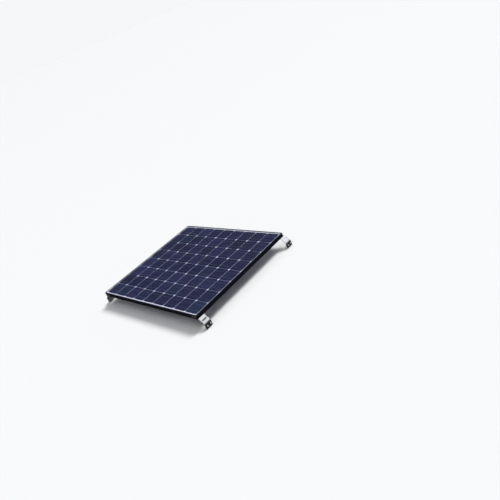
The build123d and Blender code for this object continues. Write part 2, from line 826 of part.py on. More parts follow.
bracket_underside = frame_bottom - bracket_thickness
flange_top = frame_bottom + flange_thickness
clamp_face = bracket_reach + clamp_plate_thickness
fastener_groups = {
    "frame_bolts": (hex_bolt, frame_fastener_planes(bracket_underside - washer_thickness, -1)),
    "frame_bolt_washers": (
        washer,
        frame_fastener_planes(bracket_underside - washer_thickness, 1)
        + frame_fastener_planes(flange_top, 1),
    ),
    "frame_bolt_nuts": (hex_nut, frame_fastener_planes(flange_top + washer_thickness, 1)),
    "side_bolts": (hex_bolt, side_fastener_planes(clamp_face + washer_thickness)),
    "side_bolt_washers": (washer, side_fastener_planes(clamp_face)),
    "rail_t_nuts": (
        t_nut,
        side_fastener_planes(bracket_reach - bracket_thickness - rail_lip - t_nut_thickness),
    ),
}
for name, (fastener, planes) in fastener_groups.items():
    with BuildPart() as group:
        with Locations(*planes):
            add(fastener.part)
    save(group, name)
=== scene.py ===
import math
import random
import bmesh
import bpy
from mathutils import Matrix, Vector


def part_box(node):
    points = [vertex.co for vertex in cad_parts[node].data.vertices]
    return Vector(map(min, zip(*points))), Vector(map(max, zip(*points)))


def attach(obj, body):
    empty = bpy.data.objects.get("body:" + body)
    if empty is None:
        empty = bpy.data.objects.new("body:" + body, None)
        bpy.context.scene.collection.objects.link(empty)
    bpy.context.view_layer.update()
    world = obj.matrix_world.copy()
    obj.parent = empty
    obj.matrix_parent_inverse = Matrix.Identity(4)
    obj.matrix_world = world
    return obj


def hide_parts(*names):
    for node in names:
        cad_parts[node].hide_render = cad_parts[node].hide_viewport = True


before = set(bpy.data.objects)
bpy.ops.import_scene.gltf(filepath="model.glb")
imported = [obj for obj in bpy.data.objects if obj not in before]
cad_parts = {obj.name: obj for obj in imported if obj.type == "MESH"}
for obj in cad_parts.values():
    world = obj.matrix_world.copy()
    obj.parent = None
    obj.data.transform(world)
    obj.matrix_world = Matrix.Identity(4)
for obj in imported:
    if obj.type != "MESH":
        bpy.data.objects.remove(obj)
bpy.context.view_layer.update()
MM = 0.001
BODY = "module"
LID = "junction_lid"


# ---------- places, read from the frame ----------
glass_low, glass_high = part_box("front_glass")
sheet_low, sheet_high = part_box("backsheet")
string_boxes = [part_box(f"cell_string_{row}") for row in range(1, 9)]
first_low, first_high = string_boxes[0]
COLUMNS = 9
INGOT_RADIUS = 82.5 * MM  # the round ingot shows in the cut corners of every cell
BUSBAR = 31.25 * MM  # from a cell's middle line to each of its two busbars
CELL = first_high.y - first_low.y
PITCH_X = (first_high.x - first_low.x - CELL) / (COLUMNS - 1)
PITCH_Y = string_boxes[1][0].y - first_low.y
CELL_TOP = first_high.z
RIBBON_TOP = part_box("string_ribbons_1")[1].z
cell_x = [first_low.x + CELL / 2 + column * PITCH_X for column in range(COLUMNS)]
string_y = [(low.y + high.y) / 2 for low, high in string_boxes]


# ---------- materials ----------
# sockets of a Mix node that mixes colours
MIX_FACTOR, MIX_FIRST, MIX_SECOND, MIX_RESULT = 0, 6, 7, 2


class Finish:
    """A material with one Principled shader, and short calls for the nodes that drive it."""

    def __init__(self, name, colour, roughness, metallic=0.0, **sockets):
        self.material = bpy.data.materials.new(name)
        self.material.use_nodes = True
        self.tree = self.material.node_tree
        self.shader = self.tree.nodes["Principled BSDF"]
        self.set("Base Color", (*colour, 1))
        self.set("Roughness", roughness)
        self.set("Metallic", metallic)
        for socket, value in sockets.items():
            self.set(socket.replace("_", " ").title().replace("Ior", "IOR"), value)

    def set(self, socket, value):
        self.shader.inputs[socket].default_value = value

    def drive(self, socket, output):
        self.tree.links.new(output, self.shader.inputs[socket])

    def node(self, kind, inputs=(), **settings):
        made = self.tree.nodes.new(kind)
        for setting, value in settings.items():
            setattr(made, setting, value)
        for socket, value in dict(inputs).items():
            if isinstance(value, bpy.types.NodeSocket):
                self.tree.links.new(value, made.inputs[socket])
            else:
                made.inputs[socket].default_value = value
        return made

    def place(self, stretch=(1, 1, 1)):
        """The surface's own coordinates in metres, scaled along each axis."""
        coordinates = self.node("ShaderNodeTexCoord").outputs["Object"]
        inputs = {"Vector": coordinates, "Scale": stretch}
        return self.node("ShaderNodeMapping", inputs).outputs["Vector"]

    def noise(self, scale, detail=3.0, stretch=(1, 1, 1), roughness=0.5):
        inputs = {"Vector": self.place(stretch), "Scale": scale, "Detail": detail, "Roughness": roughness}
        return self.node("ShaderNodeTexNoise", inputs).outputs["Fac"]

    def remap(self, value, start, end, low, high):
        inputs = {"Value": value, "From Min": start, "From Max": end, "To Min": low, "To Max": high}
        return self.node("ShaderNodeMapRange", inputs).outputs["Result"]

    def math(self, operation, first, second=0.0):
        return self.node("ShaderNodeMath", {0: first, 1: second}, operation=operation).outputs[0]

    def blend(self, factor, first, second):
        """A colour between two colours, given as numbers or as outputs."""
        inputs = {
            MIX_FACTOR: factor,
            MIX_FIRST: self.colour(first),
            MIX_SECOND: self.colour(second),
        }
        return self.node("ShaderNodeMix", inputs, data_type="RGBA").outputs[MIX_RESULT]

    @staticmethod
    def colour(value):
        return value if isinstance(value, bpy.types.NodeSocket) else (*value, 1)

    def bump(self, height, strength, distance):
        inputs = {"Height": height, "Strength": strength, "Distance": distance}
        self.drive("Normal", self.node("ShaderNodeBump", inputs).outputs["Normal"])


def along(axis, fine, coarse):
    """Noise stretch for lines that run along one axis."""
    return tuple(coarse if index == axis else fine for index in range(3))


def anodised(name, axis):
    """Black anodised extrusion, with faint die lines along its length."""
    finish = Finish(name, (0.004, 0.0045, 0.006), 0.4, 0.0, specular_ior_level=0.22)
    lines = finish.noise(1.0, 2.0, along(axis, 2600, 6))
    cloud = finish.noise(9.0, 4.0)
    finish.drive("Base Color", finish.blend(cloud, (0.0025, 0.0032, 0.0068), (0.0062, 0.0078, 0.0155)))
    finish.drive("Roughness", finish.remap(lines, 0.3, 0.7, 0.34, 0.48))
    finish.bump(lines, 0.07, 0.05 * MM)
    return finish.material


def bare_aluminium(name, axis, tint=(0.44, 0.45, 0.47)):
    """Rolled aluminium sheet: grain lines, dull patches and scuffs."""
    finish = Finish(name, tint, 0.5, 0.85)
    grain = finish.noise(1.0, 4.0, along(axis, 1500, 25), roughness=0.7)
    cloud = finish.noise(38.0, 4.0)
    dark = tuple(0.78 * part for part in tint)
    mottle = finish.math("MULTIPLY", finish.math("ADD", grain, cloud), 0.5)
    finish.drive("Base Color", finish.blend(finish.remap(mottle, 0.36, 0.64, 0, 1), dark, tint))
    finish.drive("Roughness", finish.remap(mottle, 0.35, 0.65, 0.44, 0.62))
    finish.bump(grain, 0.5, 0.04 * MM)
    return finish.material


def stainless():
    """Tumbled stainless steel, satin rather than mirror-bright."""
    finish = Finish("stainless_fasteners", (0.7, 0.7, 0.69), 0.4, 0.65)
    cloud = finish.noise(420.0, 3.0)
    finish.drive("Base Color", finish.blend(cloud, (0.6, 0.595, 0.59), (0.76, 0.755, 0.75)))
    finish.drive("Roughness", finish.remap(cloud, 0.3, 0.7, 0.3, 0.48))
    finish.bump(finish.noise(2400.0, 2.0), 0.12, 0.02 * MM)
    return finish.material


def black_leg_finish():
    """Black with a fine orange peel, for the plates that cover the brackets' legs and make the legs look
    dark.
    """
    finish = Finish("black_leg_plate", (0.012, 0.0125, 0.014), 0.5, 0.0, specular_ior_level=0.4)
    peel = finish.noise(900.0, 2.0)
    cloud = finish.noise(40.0, 3.0)
    finish.drive("Base Color", finish.blend(cloud, (0.009, 0.0095, 0.011), (0.018, 0.0185, 0.021)))
    finish.drive("Roughness", finish.remap(peel, 0.3, 0.7, 0.42, 0.58))
    finish.bump(peel, 0.35, 0.08 * MM)
    return finish.material


def silicon():
    """Blue-coated wafers. Each cell has its own shade, and the coating is paler near its edge."""
    finish = Finish("silicon_cells", (0.01, 0.015, 0.05), 0.5, 0.0, specular_ior_level=0.1)
    x, y, _ = finish.node("ShaderNodeSeparateXYZ", {0: finish.place()}).outputs
    half_x = PITCH_X * COLUMNS / 2
    half_y = PITCH_Y * len(string_y) / 2
    across = finish.math("DIVIDE", finish.math("ADD", x, half_x), PITCH_X)
    up = finish.math("DIVIDE", finish.math("ADD", y, half_y), PITCH_Y)
    index = finish.node(
        "ShaderNodeCombineXYZ",
        {0: finish.math("FLOOR", across), 1: finish.math("FLOOR", up), 2: 0.5},
    ).outputs[0]
    chance = finish.node("ShaderNodeTexWhiteNoise", {"Vector": index}, noise_dimensions="3D").outputs
    shade = finish.blend(chance["Value"], (0.0058, 0.0068, 0.031), (0.0168, 0.0178, 0.065))
    second_chance = finish.node("ShaderNodeSeparateColor", {0: chance["Color"]}).outputs[1]
    shade = finish.blend(finish.remap(second_chance, 0.8, 1.0, 0, 0.8), shade, (0.006, 0.024, 0.048))
    cloud = finish.remap(finish.noise(11.0, 3.0), 0.35, 0.65, 0, 0.35)
    shade = finish.blend(cloud, shade, (0.009, 0.010, 0.05))
    # how far from the cell's middle, up to 0.5 at its edge, for the paler rim of the coating
    off_x = finish.math("ABSOLUTE", finish.math("SUBTRACT", finish.math("FRACT", across), 0.5))
    off_y = finish.math("ABSOLUTE", finish.math("SUBTRACT", finish.math("FRACT", up), 0.5))
    rim = finish.remap(finish.math("MAXIMUM", off_x, off_y), 0.465, 0.49, 0, 0.35)
    shade = finish.blend(rim, shade, (0.02, 0.034, 0.10))
    # the rear face is printed with a dull aluminium contact
    normal = finish.node("ShaderNodeNewGeometry").outputs["Normal"]
    facing_z = finish.node("ShaderNodeSeparateXYZ", {0: normal}).outputs[2]
    rear = finish.remap(facing_z, -0.9, -0.5, 1, 0)
    shade = finish.blend(rear, shade, (0.3, 0.31, 0.32))
    finish.drive("Base Color", shade)
    finish.bump(finish.noise(3000.0, 2.0), 0.08, 0.01 * MM)
    return finish.material


def silver_print():
    """Printed silver under the blue anti-reflection coat, much duller than bare metal."""
    finish = Finish("silver_print", (0.07, 0.08, 0.12), 0.5, 0.0, specular_ior_level=0.2)
    grain = finish.noise(5000.0, 2.0)
    finish.drive("Base Color", finish.blend(grain, (0.035, 0.042, 0.085), (0.06, 0.07, 0.115)))
    finish.drive("Roughness", finish.remap(grain, 0.3, 0.7, 0.45, 0.6))
    return finish.material


def tinned(name, tint, metallic=1.0):
    """Solder-coated copper strip, with the soft waves of dipped solder."""
    finish = Finish(name, tint, 0.35, metallic)
    waves = finish.noise(260.0, 3.0)
    dark = tuple(0.75 * part for part in tint)
    finish.drive("Base Color", finish.blend(waves, dark, tint))
    finish.drive("Roughness", finish.remap(waves, 0.3, 0.7, 0.42, 0.58))
    finish.bump(waves, 0.3, 0.05 * MM)
    return finish.material


def backsheet_white():
    """Matt white film, a little uneven."""
    finish = Finish("backsheet_white", (0.8, 0.82, 0.86), 0.5)
    cloud = finish.noise(16.0, 4.0)
    finish.drive("Base Color", finish.blend(cloud, (0.63, 0.65, 0.78), (0.69, 0.71, 0.83)))
    finish.drive("Roughness", finish.remap(finish.noise(700.0), 0.3, 0.7, 0.42, 0.56))
    finish.bump(finish.noise(1500.0, 2.0), 0.15, 0.02 * MM)
    return finish.material


def low_iron_glass():
    """Clear solar glass; its faint waviness shows in reflections only."""
    finish = Finish("solar_glass", (0.97, 0.99, 0.985), 0.035, 0.0, transmission_weight=1.0, ior=1.42)
    finish.bump(finish.noise(34.0, 2.0), 0.05, 0.15 * MM)
    return finish.material


def moulded(name, colour, grain=1500.0, rough=(0.48, 0.62)):
    """Moulded plastic with a spark-eroded grain."""
    finish = Finish(name, colour, 0.55, 0.0, specular_ior_level=0.45)
    pits = finish.noise(grain, 3.0)
    cloud = finish.noise(45.0, 3.0)
    pale = tuple(1.5 * part + 0.002 for part in colour)
    finish.drive("Base Color", finish.blend(cloud, colour, pale))
    finish.drive("Roughness", finish.remap(pits, 0.3, 0.7, *rough))
    finish.bump(pits, 0.3, 0.04 * MM)
    return finish.material


def rubber(name, colour):
    """Dull black rubber or foam."""
    finish = Finish(name, colour, 0.75, 0.0, specular_ior_level=0.3)
    skin = finish.noise(1100.0, 4.0)
    pale = tuple(1.7 * part + 0.004 for part in colour)
    finish.drive("Base Color", finish.blend(skin, colour, pale))
    finish.drive("Roughness", finish.remap(skin, 0.3, 0.7, 0.66, 0.84))
    finish.bump(skin, 0.3, 0.05 * MM)
    return finish.material


def silicone():
    """Cured white silicone, slightly translucent."""
    finish = Finish("cured_silicone", (0.62, 0.63, 0.62), 0.4, 0.0, subsurface_weight=0.15)
    finish.set("Subsurface Radius", (0.002, 0.002, 0.002))
    cloud = finish.noise(120.0, 3.0)
    finish.drive("Base Color", finish.blend(cloud, (0.55, 0.56, 0.55), (0.68, 0.69, 0.68)))
    finish.drive("Roughness", finish.remap(cloud, 0.3, 0.7, 0.32, 0.5))
    finish.bump(finish.noise(300.0, 2.0), 0.2, 0.1 * MM)
    return finish.material


def tinned_brass():
    """Brass with a thin coat of tin."""
    finish = Finish("tinned_brass", (0.7, 0.62, 0.42), 0.32, 1.0)
    cloud = finish.noise(90.0, 3.0)
    finish.drive("Base Color", finish.blend(cloud, (0.62, 0.56, 0.4), (0.68, 0.63, 0.49)))
    finish.drive("Roughness", finish.remap(cloud, 0.3, 0.7, 0.25, 0.45))
    finish.bump(finish.noise(2000.0), 0.15, 0.02 * MM)
    return finish.material


FRAME_ALONG_X = anodised("black_anodised_x", 0)
FRAME_ALONG_Y = anodised("black_anodised_y", 1)
BRACKET = bare_aluminium("bracket_aluminium", 1)
KEY = bare_aluminium("key_aluminium", 2, (0.41, 0.42, 0.43))
STEEL = stainless()
# black for the plates over the brackets' legs, which give the legs their dark look
LEG_BLACK = black_leg_finish()
SILICON = silicon()
SILVER = silver_print()
TINNED = tinned("tinned_ribbon", (0.10, 0.115, 0.17))
BUS = tinned("bus_ribbon", (0.56, 0.58, 0.66), 0.3)
SOLDER = tinned("solder", (0.62, 0.63, 0.65))
WHITE = backsheet_white()
GLASS = low_iron_glass()
BOX_PLASTIC = moulded("box_plastic", (0.010, 0.010, 0.011))
GLAND_PLASTIC = moulded("gland_plastic", (0.008, 0.008, 0.009), 2200.0, (0.36, 0.5))
DIODE = moulded("diode_epoxy", (0.016, 0.016, 0.018), 3000.0, (0.3, 0.42))
TAPE = rubber("seal_tape", (0.012, 0.012, 0.013))
RUBBER = rubber("black_rubber", (0.016, 0.016, 0.017))
SILICONE = silicone()
BRASS = tinned_brass()

# Finishes of the CAD nodes that show, as they are or as eased copies, by how their names start.
# The nodes left out are replaced by meshes that have finishes of their own.
CAD_FINISHES = {
    "frame_rail_front": FRAME_ALONG_X,
    "frame_rail_rear": FRAME_ALONG_X,
    "frame_rail_left": FRAME_ALONG_Y,
    "frame_rail_right": FRAME_ALONG_Y,
    "corner_key": KEY,
    "bracket": BRACKET,
    # the clamp plates are black, so the brackets' legs look dark
    "clamp_plate": LEG_BLACK,
    "cell_string": SILICON,
    "string_ribbons": TINNED,
    "bus_ribbons": BUS,
    "output_leads": TINNED,
    "edge_seal": TAPE,
    "backsheet": WHITE,
    "junction_box_base": BOX_PLASTIC,
    "junction_box_lid": BOX_PLASTIC,
    "lid_gasket": RUBBER,
    "lid_hinge_pin": STEEL,
    "terminal_plates": BRASS,
    "bypass_diodes": DIODE,
}
for name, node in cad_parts.items():
    for start, finish in CAD_FINISHES.items():
        if name.startswith(start):
            node.data.materials.clear()
            node.data.materials.append(finish)


# ---------- mesh helpers ----------
STEPS = 36  # points round a turned part: a multiple of 6, so that hexagons keep their corners
SHARP_EDGE = math.radians(35)


def new_object(name, bm, material):
    """An object from a bmesh, shaded smooth except along its sharp edges."""
    bmesh.ops.recalc_face_normals(bm, faces=bm.faces)
    for face in bm.faces:
        face.smooth = True
    for edge in bm.edges:
        if edge.is_manifold and edge.calc_face_angle() > SHARP_EDGE:
            edge.smooth = False
    mesh = bpy.data.meshes.new(name)
    bm.to_mesh(mesh)
    bm.free()
    mesh.materials.append(material)
    made = bpy.data.objects.new(name, mesh)
    bpy.context.scene.collection.objects.link(made)
    return made


def add_piece(name, bm, material, replaces=(), body=BODY):
    """An object that rides on a body, in place of any CAD nodes named."""
    made = new_object(name, bm, material)
    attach(made, body)
    if replaces:
        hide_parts(*replaces)
    return made


def add_block(bm, low, high):
    """A closed box between two corners."""
    corners = [
        bm.verts.new((x, y, z))
        for z in (low[2], high[2])
        for y in (low[1], high[1])
        for x in (low[0], high[0])
    ]
    for face in ((0, 2, 3, 1), (4, 5, 7, 6), (0, 1, 5, 4), (2, 6, 7, 3), (0, 4, 6, 2), (1, 3, 7, 5)):
        bm.faces.new([corners[index] for index in face])


def add_loft(bm, rings, place=Matrix.Identity(4), tube=False):
    """Skins matching rings of points in millimetres. A tube closes on itself; a rod gets end caps."""
    made = [[bm.verts.new(place @ (Vector(point) * MM)) for point in ring] for ring in rings]
    pairs = list(zip(made, made[1:]))
    if tube:
        pairs.append((made[-1], made[0]))
    for first, second in pairs:
        for i in range(len(first)):
            j = (i + 1) % len(first)
            bm.faces.new((first[i], first[j], second[j], second[i]))
    if not tube:
        bm.faces.new(made[0][::-1])
        bm.faces.new(made[-1])


def turn_ring(radius, z):
    """Points at a height round the axis; radius is a number or a function of the angle."""
    ring = []
    for step in range(STEPS):
        angle = math.tau * step / STEPS
        r = radius(angle) if callable(radius) else radius
        ring.append((r * math.cos(angle), r * math.sin(angle), z))
    return ring


def turned(profile):
    """Rings for pairs of a radius and a height."""
    return [turn_ring(radius, z) for radius, z in profile]


def hexagon(across, limit=math.inf):
    """Radius of a hexagon at an angle, cut back to a circle where that is smaller."""
    sector = math.pi / 3
    return lambda angle: min(across / 2 / math.cos(angle % sector - sector / 2), limit)


def hex_rings(across, bottom, top, bevel_bottom=False):
    """A hexagonal prism, chamfered by a 30 degree cone at the top and, if asked, at the bottom."""
    corner = across / 2 / math.cos(math.pi / 6)
    face = 0.475 * across
    depth = (corner - face) * math.tan(math.pi / 6)
    steps = 5
    shares = [index / steps for index in range(steps + 1)]
    chamfer = [(hexagon(across, face + share * (corner - face)), share * depth) for share in shares]
    rings = [turn_ring(hexagon(across), bottom)]
    if bevel_bottom:
        rings = turned([(outline, bottom + rise) for outline, rise in chamfer])
    return rings + turned([(outline, top - fall) for outline, fall in reversed(chamfer)])


def thread_rings(radius, depth, pitch, start, end, lead_in=1.0):
    """A helical thread from start to end, which runs in and out over lead_in and narrows at its tip."""
    rings_per_turn = 6
    count = max(2, round(abs(end - start) / pitch * rings_per_turn))
    rings = []
    for index in range(count + 1):
        z = start + (end - start) * index / count
        fade = min(1.0, abs(z - start) / lead_in, 0.35 + abs(end - z) / lead_in)
        tip = depth * 0.6 * max(0.0, 1 - abs(end - z) / (0.6 * lead_in))

        def radius_at(angle, z=z, fade=fade, tip=tip):
            wave = abs(((z / pitch - angle / math.tau) % 1.0) * 2 - 1)
            return radius - tip - depth * fade * min(1.0, 1.25 * wave)

        rings.append(turn_ring(radius_at, z))
    return rings


def axis_place(origin, outward, x_axis):
    """The matrix that takes a part turned about Z to a place, with Z outward."""
    z = Vector(outward).normalized()
    x = Vector(x_axis)
    y = z.cross(x)
    return Matrix.Translation(origin) @ Matrix((x, y, z)).transposed().to_4x4()


def rounded_copy(node, width, body=BODY):
    """A copy of a CAD node with its sharp edges eased by a width in millimetres."""
    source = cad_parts[node].data
    bm = bmesh.new()
    bm.from_mesh(source)
    bmesh.ops.remove_doubles(bm, verts=bm.verts, dist=0.002 * MM)
    bmesh.ops.dissolve_limit(
        bm,
        angle_limit=math.radians(0.5),
        verts=bm.verts,
        edges=bm.edges,
        use_dissolve_boundaries=False,
    )
    eased_from = math.radians(40)
    sharp = [edge for edge in bm.edges if edge.is_manifold and edge.calc_face_angle() > eased_from]
    bmesh.ops.bevel(
        bm,
        geom=sharp,
        offset=width * MM,
        segments=2,
        profile=0.6,
        affect="EDGES",
        clamp_overlap=True,
    )
    bmesh.ops.remove_doubles(bm, verts=bm.verts, dist=0.0005 * MM)
    made = add_piece(f"{node}_finished", bm, source.materials[0], (node,), body)
    flatten = made.modifiers.new("flat_faces", "WEIGHTED_NORMAL")
    flatten.weight = 100
    flatten.keep_sharp = True


# ---------- laminate ----------
def build_clear_laminate():
    """Glass and encapsulant refract almost alike, so they are one clear sheet round the cells."""
    arris = 0.8 * MM
    into_backsheet = 0.05 * MM
    bottom = sheet_high.z - into_backsheet
    bm = bmesh.new()
    rings = []
    for inset, z in ((0, bottom), (0, glass_high.z - arris), (arris, glass_high.z)):
        xs = (glass_low.x + inset, glass_high.x - inset)
        ys = (glass_low.y + inset, glass_high.y - inset)
        rings.append([bm.verts.new((xs[i], ys[j], z)) for i, j in ((0, 0), (1, 0), (1, 1), (0, 1))])
    for lower, upper in zip(rings, rings[1:]):
        for i in range(4):
            bm.faces.new((lower[i], lower[(i + 1) % 4], upper[(i + 1) % 4], upper[i]))
    bm.faces.new(rings[0][::-1])
    bm.faces.new(rings[-1])
    clear_nodes = ("front_glass", "front_encapsulant", "rear_encapsulant")
    made = add_piece("clear_laminate", bm, GLASS, clear_nodes)
    made.visible_shadow = False


def build_silver_prints():
    """Screen-printed fingers across every cell, and the printed busbars under the ribbons."""
    margin = 1.3 * MM
    finger = 0.11 * MM
    half_bar = 0.8 * MM
    height = 0.03 * MM
    fingers = 58
    reach = CELL / 2 - margin
    pitch = 2 * reach / (fingers - 1)
    for row, y in enumerate(string_y):
        bm = bmesh.new()
        for x in cell_x:
            for step in range(fingers):
                off = step * pitch - reach
                half = min(reach, math.sqrt((INGOT_RADIUS - margin) ** 2 - off**2))
                add_block(
                    bm,
                    (x + off - finger / 2, y - half, CELL_TOP),
                    (x + off + finger / 2, y + half, CELL_TOP + height),
                )
            for side in (-1, 1):
                bar = y + side * BUSBAR
                add_block(
                    bm,
                    (x - reach, bar - half_bar, CELL_TOP),
                    (x + reach, bar + half_bar, CELL_TOP + height),
                )
        add_piece(f"silver_print_{row + 1}", bm, SILVER)


build_clear_laminate()
build_silver_prints()


# ---------- solder and the reliefs of the ribbons in the backsheet ----------
def add_dome(bm, centre, size, up=1.0):
    """A flattened drop of solder, with its centre in metres and its size in millimetres.

    It stands up from a surface, or hangs from one if up is -1.
    """
    place = Matrix.Translation(centre) @ Matrix.Diagonal((1, 1, up, 1))
    points = 12
    angles = [math.tau * step / points for step in range(points)]
    rings = []
    for level in (0.0, 0.35, 0.65, 0.88, 0.99):
        narrow = math.sqrt(1 - level**2)
        half_x, half_y = size[0] / 2 * narrow, size[1] / 2 * narrow
        rings.append([(half_x * math.cos(a), half_y * math.sin(a), size[2] * level) for a in angles])
    add_loft(bm, rings, place)


def build_bus_solder():
    """A flat solder joint wherever a cell ribbon meets a bus ribbon."""
    joint = (3.0, 3.2, 0.12)
    sunk = 0.02 * MM
    bm = bmesh.new()
    for side in ("left", "right"):
        low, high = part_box(f"bus_ribbons_{side}")
        x = (low.x + high.x) / 2
        for row, y in enumerate(string_y):
            # strings alternate in direction, so the cell ribbon lies on the bus at every other joint
            over = (row % 2 == 0) == (side == "right")
            z = RIBBON_TOP if over else high.z
            for bar in (-BUSBAR, BUSBAR):
                add_dome(bm, (x, y + bar, z - sunk), joint)
    add_piece("bus_solder_joints", bm, SOLDER)


def build_backsheet_relief():
    """The ribbons and leads print through the soft backsheet as low ridges, in millimetres.

    Ridges that cross have different heights, so that no two of their faces lie in one plane.
    """
    base = sheet_low.z / MM
    end_taper = 2.0
    sunk = 0.02
    ribbon_ridge, bus_ridge, lead_ridge = 2.6, 3.4, 3.6
    bm = bmesh.new()

    def ridge(start, end, half_width, height):
        """A ridge between two points of the sheet. Its ends are narrower and lower."""
        start, end = Vector((*start, 0)), Vector((*end, 0))
        along_ridge = (end - start).normalized()
        side = along_ridge.cross(Vector((0, 0, 1))) * half_width
        taper = along_ridge * end_taper
        half = ((0.25, height), (0.62, height * 0.35), (1, -sunk))
        section = [(-across, rise) for across, rise in reversed(half)] + list(half)
        rings = []
        for point, share in ((start, 0.15), (start + taper, 1.0), (end - taper, 1.0), (end, 0.15)):
            width = 0.6 + 0.4 * share
            ring = []
            for across, rise in section:
                ring.append(tuple(point + side * across * width + Vector((0, 0, base - rise * share))))
            rings.append(ring)
        add_loft(bm, rings)

    reach = (cell_x[-1] + CELL / 2) / MM
    for y in string_y:
        for bar in (-BUSBAR, BUSBAR):
            ridge((-reach, (y + bar) / MM), (reach, (y + bar) / MM), ribbon_ridge, 0.14)
    for side in ("left", "right"):
        low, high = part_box(f"bus_ribbons_{side}")
        x = (low.x + high.x) / 2 / MM
        ridge((x, low.y / MM), (x, high.y / MM), bus_ridge, 0.2)

    # the outer leads show as they enter the box; the inner ones come from the margin and turn towards it
    half_lead, half_terminal = 2.25, 8
    leads_low, leads_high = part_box("output_leads")
    start_x = leads_low.x / MM + end_taper
    inner_x = leads_high.x / MM - half_lead
    inner_y = (string_y[1] + string_y[2]) / 2 / MM
    inner_end_y = 14
    outer_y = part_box("terminal_plates")[1].y / MM - half_terminal
    box_edge_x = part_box("junction_box_adhesive")[0].x / MM
    outside, inside = 50, 10
    for end in (-1, 1):
        outer = (box_edge_x - outside, end * outer_y), (box_edge_x + inside, end * outer_y)
        ridge(*outer, lead_ridge, 0.24)
        ridge((start_x, end * inner_y), (inner_x, end * inner_y), lead_ridge, 0.26)
        ridge((inner_x, end * inner_y), (inner_x, end * inner_end_y), lead_ridge, 0.28)
    add_piece("backsheet_relief", bm, WHITE)


# ---------- fasteners, with M8 sizes in millimetres ----------
M8_ACROSS = 13.0
M8_HEAD = 5.3
M8_LENGTH = 20.0
M8_PITCH = 1.25
M8_NUT = 6.5
M8_WASHER = 1.6
M8_HOLE_RADIUS = 4.0
T_NUT_THICK = 5.0


def bolt_parts(bm, place, thread_from):
    """An M8 hexagon bolt: place is under the head, with Z towards the head."""
    washer_face = 0.35
    rings = turned(((5.9, 0.0), (5.9, washer_face)))
    rings += hex_rings(M8_ACROSS, washer_face, M8_HEAD)
    rings += turned(((5.55, M8_HEAD), (5.25, M8_HEAD - 0.22), (0.6, M8_HEAD - 0.26)))
    add_loft(bm, rings, place)
    shank = turned(((3.9, 0.6), (3.9, thread_from + 0.1)))
    shank += thread_rings(3.97, 0.62, M8_PITCH, thread_from, -M8_LENGTH)
    shank += [turn_ring(0.4, -M8_LENGTH - 0.02)]
    add_loft(bm, shank, place)


def nut_parts(bm, place):
    """An M8 nut that starts at its bearing face, with countersunk mouths."""
    mouth, sink = 4.75, 0.6
    rings = hex_rings(M8_ACROSS, 0.0, M8_NUT, bevel_bottom=True)
    hole = ((M8_HOLE_RADIUS, M8_NUT - sink), (M8_HOLE_RADIUS, sink))
    rings += turned(((mouth, M8_NUT), *hole, (mouth, 0.0)))
    add_loft(bm, rings, place, tube=True)


def washer_parts(bm, place):
    """An M8 washer with eased edges."""
    inside = ((4.2, 0.12), (4.35, 0.0))
    outside = ((7.8, 0.0), (8.0, 0.2), (8.0, 1.35), (7.75, M8_WASHER))
    add_loft(bm, turned((*inside, *outside, (4.4, M8_WASHER), (4.2, 1.4))), place, tube=True)


def t_nut_parts(bm, place):
    """A T-nut block with eased edges and a bolt hole; its long side lies along the local X axis."""
    half_long, half_high, edge = 12.0, 7.5, 0.5
    mouth, sink = 4.7, 0.6
    per_side = STEPS // 4

    def outline(inset, z):
        hx, hy = half_long - inset, half_high - inset
        corners = [(hx, -hy), (hx, hy), (-hx, hy), (-hx, -hy)]
        points = []
        for (x0, y0), (x1, y1) in zip(corners, corners[1:] + corners[:1]):
            for step in range(per_side):
                share = step / per_side
                points.append((x0 + (x1 - x0) * share, y0 + (y1 - y0) * share, z))
        return points

    def hole(radius, z):
        middle = Vector((0, 0, z))
        return [tuple(Vector((x, y, 0)).normalized() * radius + middle) for x, y, _ in outline(0, 0)]

    top = T_NUT_THICK
    rings = [outline(edge, 0), outline(0, edge), outline(0, top - edge), outline(edge, top)]
    rings += [hole(mouth, top), hole(M8_HOLE_RADIUS, top - sink)]
    rings += [hole(M8_HOLE_RADIUS, sink), hole(mouth, 0)]
    add_loft(bm, rings, place, tube=True)


def screw_mesh():
    """A pan-head screw with a cross recess, about Z, with its bearing face at 0."""
    bm = bmesh.new()
    neck = ((2.0, -1.2), (2.0, 0.0))
    pan = ((4.0, 0.0), (4.0, 0.45), (3.88, 1.05), (3.45, 1.65), (2.7, 2.1), (1.6, 2.35), (0.3, 2.4))
    add_loft(bm, turned(neck + pan))
    head = new_object("screw_head", bm, STEEL)
    bm = bmesh.new()

    def cross(length, width, z):
        """The outline of a cross: one arm's three points, turned to each of its four places."""
        a, b = length / 2, width / 2
        arm = ((a, -b), (a, b), (b, b))
        quarters = ((1, 0), (0, 1), (-1, 0), (0, -1))
        return [(x * c - y * s, x * s + y * c, z) for c, s in quarters for x, y in arm]

    add_loft(bm, [cross(2.2, 0.7, 0.7), cross(4.6, 1.15, 2.7)])
    cutter = new_object("screw_recess", bm, STEEL)
    cut = head.modifiers.new("recess", "BOOLEAN")
    cut.operation = "DIFFERENCE"
    cut.object = cutter
    cut.solver = "EXACT"
    bpy.context.view_layer.update()
    shaped = head.evaluated_get(bpy.context.evaluated_depsgraph_get())
    mesh = bpy.data.meshes.new_from_object(shaped)
    for used in (head, cutter):
        bpy.data.objects.remove(used)
    return mesh


def screw_parts(bm, place, mesh):
    """The screw's head from a ready mesh, and its threaded shank behind the wall."""
    start = len(bm.verts)
    bm.from_mesh(mesh)
    bm.verts.ensure_lookup_table()
    bmesh.ops.transform(bm, matrix=place, verts=bm.verts[start:])
    tip = -9.0
    thread = thread_rings(2.08, 0.3, 1.4, -1.6, tip, 0.8)
    add_loft(bm, [turn_ring(2.0, -1.0), *thread, turn_ring(0.2, tip - 0.02)], place)


